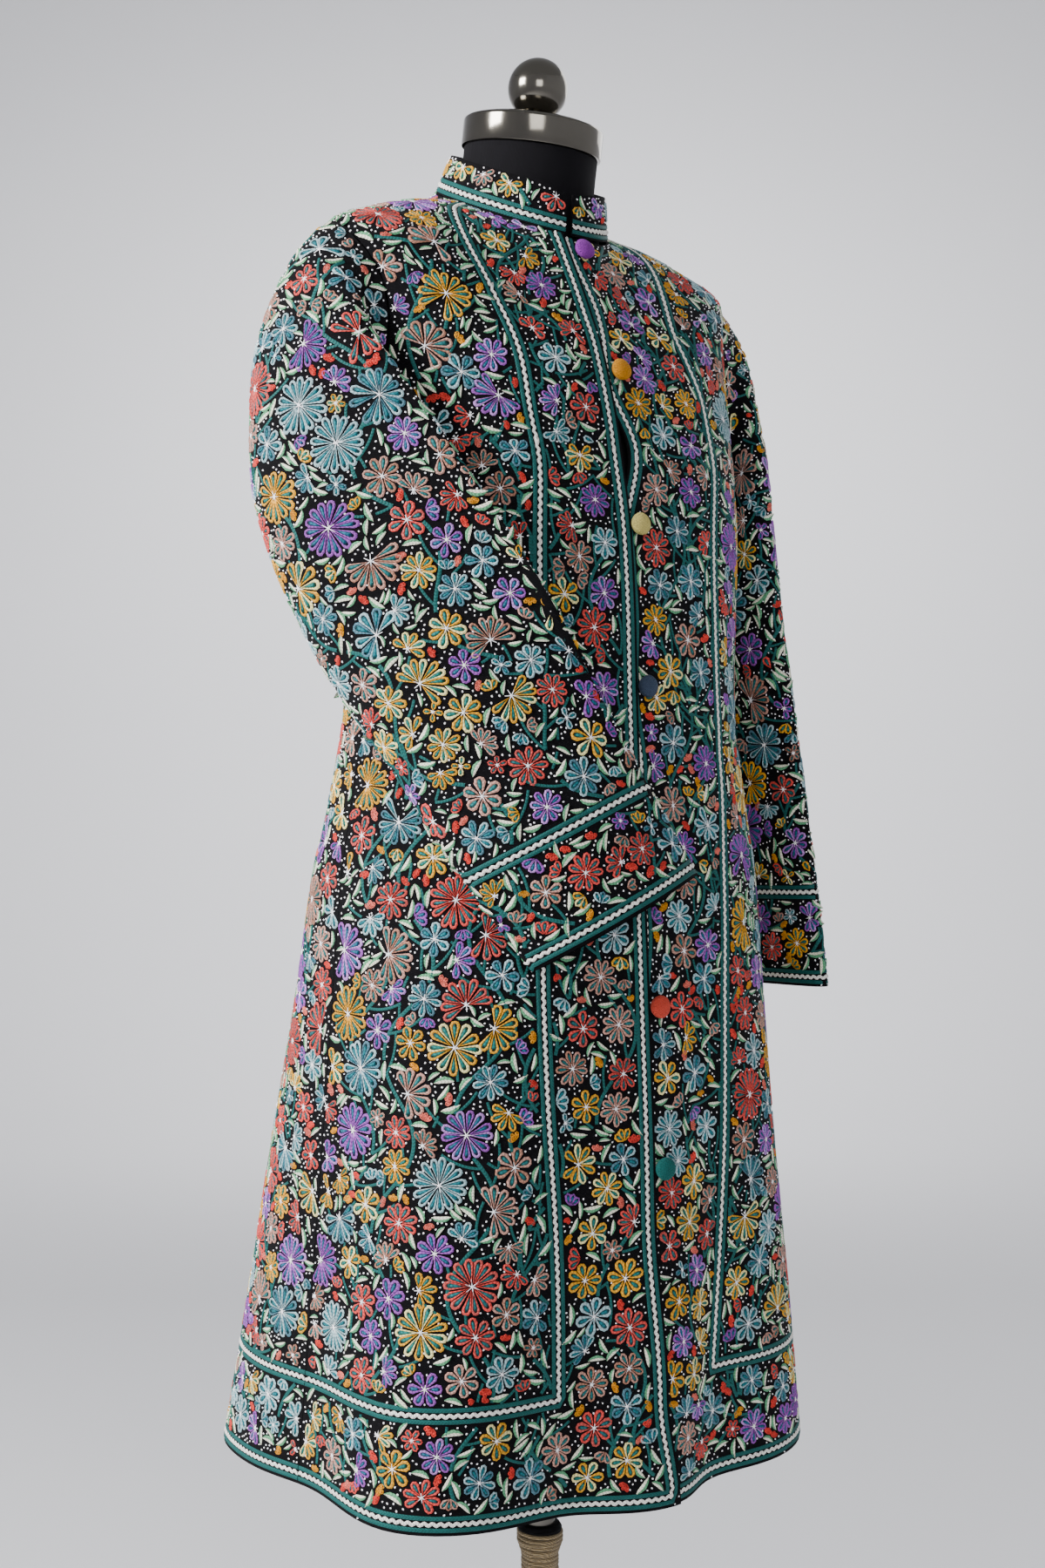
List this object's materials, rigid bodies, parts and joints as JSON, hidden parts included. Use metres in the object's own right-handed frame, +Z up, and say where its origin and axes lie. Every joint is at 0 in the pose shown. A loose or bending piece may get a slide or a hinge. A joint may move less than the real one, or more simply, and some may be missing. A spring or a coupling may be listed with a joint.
{
  "type": "long jacket on a dress form",
  "caption": "Knee-length stand-collar jacket with a buttoned overlapping front, worn by a limbless dress form on a pole and round base.",
  "frame": {"origin": "on the floor under the pole's axis, at the centre of the base plate's underside", "axes": "+Z up, the jacket's front faces -Y, the wearer's right is at -X"},
  "size_m": [0.4918, 0.4294, 1.5669],
  "materials": {
    "embroidered_wool": "black wool covered with coloured chain stitch",
    "thread_violet": "wound thread",
    "thread_amber": "wound thread",
    "thread_cream": "wound thread",
    "thread_slate": "wound thread",
    "thread_rose": "wound thread",
    "thread_coral": "wound thread",
    "thread_teal": "wound thread",
    "black_jersey": "matt stretched jersey",
    "polished_steel": "polished",
    "brushed_steel": "satin",
    "jute_twine": "wound twine",
    "black_enamel": "satin"
  },
  "bodies": {
    "root": {"front_right": "embroidered_wool", "front_left": "embroidered_wool", "back": "embroidered_wool", "sleeve_right": "embroidered_wool", "sleeve_left": "embroidered_wool", "collar": "embroidered_wool", "button_1": "thread_violet", "button_2": "thread_amber", "button_3": "thread_cream", "button_4": "thread_slate", "button_5": "thread_rose", "button_6": "thread_coral", "button_7": "thread_teal", "dress_form": "black_jersey", "neck_cap": "polished_steel", "finial_ball": "polished_steel", "pole": "brushed_steel", "twine_wrap": "jute_twine", "tube": "brushed_steel", "base_plate": "black_enamel"}
  },
  "joints": []
}
